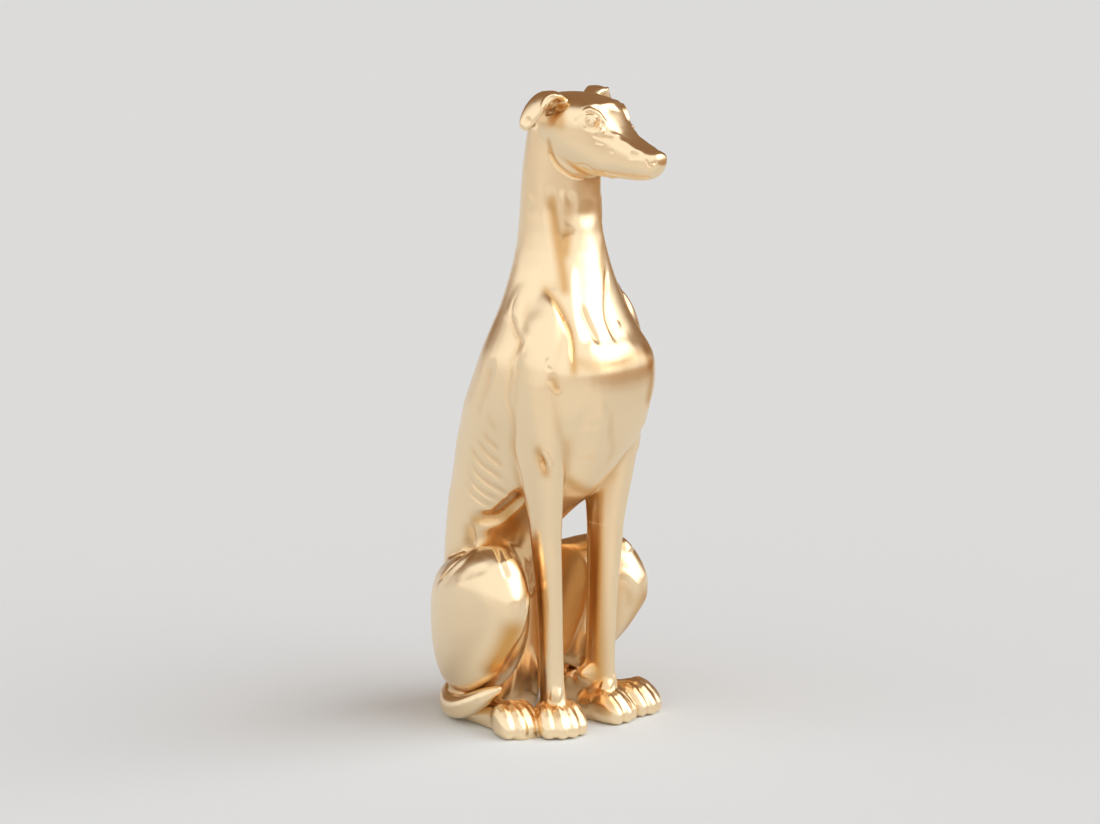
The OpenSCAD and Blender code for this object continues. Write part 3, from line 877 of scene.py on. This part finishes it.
gilt = bpy.data.materials.new("giltPaint")
gilt.use_nodes = True
tree = gilt.node_tree
shader = tree.nodes["Principled BSDF"]
shader.inputs["Metallic"].default_value = 1
shader.inputs["Roughness"].default_value = gold["roughness"]
# the painted shade mark turns the gold towards its shade colour
painted_shade = addNode(tree, "ShaderNodeAttribute", {"attribute_name": "painted_shade"})
tone = addNode(tree, "ShaderNodeMapRange", {"From Min": 0.0, "From Max": gold["shadeFullFrom"]},
               {"Value": painted_shade.outputs["Fac"]})
mix = addNode(tree, "ShaderNodeMix", {"data_type": "RGBA"})
tree.links.new(tone.outputs[0], mix.inputs[0])
mix.inputs[6].default_value = linear(gold["bright"])
mix.inputs[7].default_value = linear(gold["shadeColour"])
tree.links.new(mix.outputs[2], shader.inputs["Base Color"])
place = addNode(tree, "ShaderNodeTexCoord").outputs["Object"]
uneven = addNode(tree, "ShaderNodeTexNoise", {"Scale": 1 / gold["uneven"], "Detail": 1}, {"Vector": place})
hand = addNode(tree, "ShaderNodeBump", {"Strength": 1, "Distance": gold["unevenDepth"]},
               {"Height": uneven.outputs["Fac"]})
flakes = addNode(tree, "ShaderNodeTexNoise", {"Scale": 1 / gold["flake"], "Detail": 2}, {"Vector": place})
bump = addNode(tree, "ShaderNodeBump", {"Strength": gold["flakeShow"], "Distance": gold["flakeDepth"]},
               {"Height": flakes.outputs["Fac"], "Normal": hand.outputs["Normal"]})
tree.links.new(bump.outputs["Normal"], shader.inputs["Normal"])


def plain(name, colour, roughness, metallic=0):
    material = bpy.data.materials.new(name)
    material.use_nodes = True
    shader = material.node_tree.nodes["Principled BSDF"]
    shader.inputs["Base Color"].default_value = linear(colour)
    shader.inputs["Roughness"].default_value = roughness
    shader.inputs["Metallic"].default_value = metallic
    return material


def addGrain(material, size, depth, stretch=(1, 1, 1)):
    # a fine relief over a plain finish, in millimetres
    tree = material.node_tree
    place = addNode(tree, "ShaderNodeTexCoord").outputs["Object"]
    scaled = addNode(tree, "ShaderNodeMapping", {"Scale": stretch}, {"Vector": place})
    noise = addNode(tree, "ShaderNodeTexNoise", {"Scale": 1 / (size * mm), "Detail": 3},
                    {"Vector": scaled.outputs["Vector"]})
    relief = addNode(tree, "ShaderNodeBump", {"Strength": 0.5, "Distance": depth * mm},
                     {"Height": noise.outputs["Fac"]})
    tree.links.new(relief.outputs["Normal"], tree.nodes["Principled BSDF"].inputs["Normal"])
    return material


# Ground steel bar: grey and satin, with turning marks round it
steel = addGrain(plain("groundSteel", "#B9BCC0", 0.28, 1), 1.2, 0.01, (1, 1, 6))
# Moulded rubber: near black and dull
rubber = addGrain(plain("mouldedRubber", "#1B1A19", 0.75), 0.6, 0.02)
# Pressed wool felt: dark green, with a matted nap
felt = addGrain(plain("pressedFelt", "#26302A", 0.95), 0.35, 0.12, (1, 1, 3))
felt.node_tree.nodes["Principled BSDF"].inputs["Sheen Weight"].default_value = 0.4

finishes = {"gilded_resin": gilt, "dowel_steel": steel, "plug_rubber": rubber, "felt": felt}
cadSlots = {"neck_dowel": "dowel_steel", "foreleg_dowels": "dowel_steel", "haunch_dowels": "dowel_steel",
            "hock_dowels": "dowel_steel", "ear_pins": "dowel_steel", "filler_plug": "plug_rubber",
            "felt_disc": "felt"}


def dress(obj, slot):
    obj.data.materials.clear()
    obj.data.materials.append(finishes[slot])


for node, piece in pieces.items():
    dress(piece, "felt" if node == "felt_disc" else "gilded_resin")
for name, node in frame["nodes"].items():
    dress(node, cadSlots.get(name, "gilded_resin"))
print("finishes are on")

# Stage: white paper on a tan studio floor, in metres
stage = {
    "paper": "#E6EBEE",
    "left": (-6.0, -6.0),       # edges of the paper before the dog and far behind it, across the view
    "right": (0.75, 1.8),
    "reach": (-3.0, 9.0),       # of the paper, from the dog, in the view's direction
    "board": "#F3F5F5",         # white board laid on the paper from here towards the camera
    "boardFrom": -0.32,
    "boardLift": 0.5 * mm,
    "studio": "#B08A58",
    "floorSize": 60,
    "floorDrop": 2 * mm,
    "roughness": 0.9,
}


def stagePiece(name, corners, colour):
    bpy.ops.object.select_all(action="DESELECT")
    bpy.ops.mesh.primitive_plane_add(size=1)
    piece = bpy.context.active_object
    piece.name = name
    for point, corner in zip(piece.data.vertices, corners):
        point.co = corner
    matt = plain(name, colour, stage["roughness"])
    matt.node_tree.nodes["Principled BSDF"].inputs["Specular IOR Level"].default_value = 0
    piece.data.materials.append(matt)


viewAlong = Vector((-math.sin(azimuth), math.cos(azimuth), 0))
stagePiece("paper", [viewRight * stage[side][end] + viewAlong * stage["reach"][end]
                     for end in (0, 1) for side in ("left", "right")], stage["paper"])
boardLift = Vector((0, 0, stage["boardLift"]))
stagePiece("board", [viewRight * stage[side][0] + viewAlong * end + boardLift
                     for end in (stage["reach"][0], stage["boardFrom"]) for side in ("left", "right")],
           stage["board"])
half = stage["floorSize"] / 2
stagePiece("studioFloor", [Vector((x, y, -stage["floorDrop"]))
                           for y in (-half, half) for x in (-half, half)], stage["studio"])

# Light: white walls round the dog, brown behind it and overhead, and one large soft box before it
studio = {
    "wall": 1.05,
    "back": "#8A6A4C",
    "backElevation": 45,
    "backFrom": 0.36,    # cosines of the angle from its middle, where the dark begins and is full
    "backTo": 0.66,
    "boxAzimuth": 30,
    "boxElevation": 38,
    "boxRadius": 33,     # degrees, as is its soft edge to each side of that
    "boxEdge": 4,
    "box": 2.3,
}
world = bpy.data.worlds.new("studio")
bpy.context.scene.world = world
world.use_nodes = True
sky = world.node_tree
background = sky.nodes["Background"]
direction = addNode(sky, "ShaderNodeTexCoord").outputs["Generated"]


def towards(vector, low, high):
    # 0 to 1 as a direction comes nearer to the vector, by the cosine between them
    facing = addNode(sky, "ShaderNodeVectorMath", {"operation": "DOT_PRODUCT"})
    sky.links.new(direction, facing.inputs[0])
    facing.inputs[1].default_value = vector
    settings = {"interpolation_type": "SMOOTHSTEP", "From Min": low, "From Max": high}
    return addNode(sky, "ShaderNodeMapRange", settings, {"Value": facing.outputs["Value"]}).outputs[0]


def blend(kind, share, first, second):
    mix = addNode(sky, "ShaderNodeMix", {"data_type": "RGBA", "blend_type": kind})
    for socket, value in ((mix.inputs[0], share), (mix.inputs[6], first), (mix.inputs[7], second)):
        if isinstance(value, bpy.types.NodeSocket):
            sky.links.new(value, socket)
        else:
            socket.default_value = value
    return mix.outputs[2]


wall = [studio["wall"]] * 3 + [1]
rise = math.radians(studio["backElevation"])
backMiddle = viewAlong * math.cos(rise) + Vector((0, 0, math.sin(rise)))
room = blend("MIX", towards(backMiddle, studio["backFrom"], studio["backTo"]), wall, linear(studio["back"]))
boxTurn, boxRise = math.radians(studio["boxAzimuth"]), math.radians(studio["boxElevation"])
boxMiddle = (math.sin(boxTurn) * math.cos(boxRise), -math.cos(boxTurn) * math.cos(boxRise),
             math.sin(boxRise))
boxEdges = [math.cos(math.radians(studio["boxRadius"] + side * studio["boxEdge"])) for side in (1, -1)]
softBox = towards(boxMiddle, *boxEdges)
room = blend("MIX", softBox, room, [studio["box"]] * 3 + [1])
sky.links.new(room, background.inputs["Color"])
bpy.context.scene.view_settings.view_transform = "Standard"

# Camera at the photograph's view
photoWidth, photoHeight = view["photo"]
cameraData = bpy.data.cameras.new("camera")
camera = bpy.data.objects.new("camera", cameraData)
bpy.context.scene.collection.objects.link(camera)
camera.location = eye
camera.rotation_mode = "QUATERNION"
camera.rotation_quaternion = viewBack.to_track_quat("Z", "Y")
cameraData.sensor_width = view["sensor"]
cameraData.lens = view["sensor"] * view["distance"] / (photoWidth * view["pixel"])
cameraData.shift_x = (photoWidth / 2 - view["aimAt"][0]) / photoWidth
cameraData.shift_y = (view["aimAt"][1] - photoHeight / 2) / photoWidth
cameraData.clip_end = view["farthest"]
bpy.context.scene.camera = camera
print("stage, light and camera are set")
